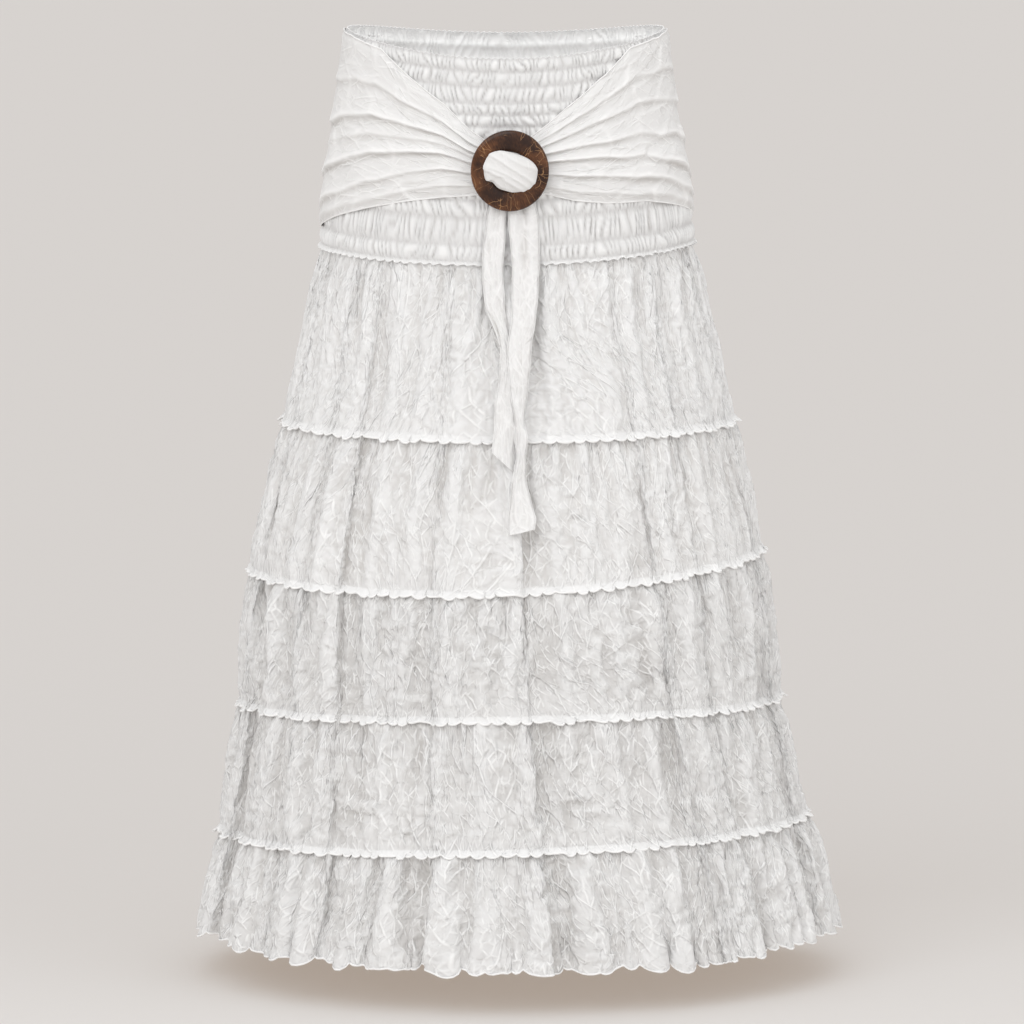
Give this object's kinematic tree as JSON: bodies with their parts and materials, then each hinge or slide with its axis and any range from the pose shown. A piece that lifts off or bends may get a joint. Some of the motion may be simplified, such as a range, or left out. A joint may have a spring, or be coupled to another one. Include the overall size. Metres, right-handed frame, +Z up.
{
  "type": "tiered ruffle skirt with sash and ring buckle",
  "caption": "Long gathered skirt in ruffled tiers under a smocked waist, with a wide sash drawn through a round ring at the front.",
  "frame": {"origin": "centre of the waist opening, level with the lowest point of its edge at the front", "axes": "+Z up out of the waist, -Y towards the front with the ring, +X towards the wearer's left side"},
  "size_m": [0.6394, 0.5178, 0.8811],
  "materials": {
    "skirt_gauze": "white crinkled cotton gauze, matt",
    "sash_cotton": "white soft cotton, lightly creased, matt",
    "coconut_shell": "dark brown polished coconut shell with lighter flecks"
  },
  "bodies": {
    "root": {"yoke": "skirt_gauze", "tier_1": "skirt_gauze", "tier_2": "skirt_gauze", "tier_3": "skirt_gauze", "tier_4": "skirt_gauze", "tier_5": "skirt_gauze", "sash_left": "sash_cotton", "sash_right": "sash_cotton", "sash_back": "sash_cotton", "sash_knot": "sash_cotton", "tail_left": "sash_cotton", "tail_right": "sash_cotton", "ring_buckle": "coconut_shell"}
  },
  "joints": []
}
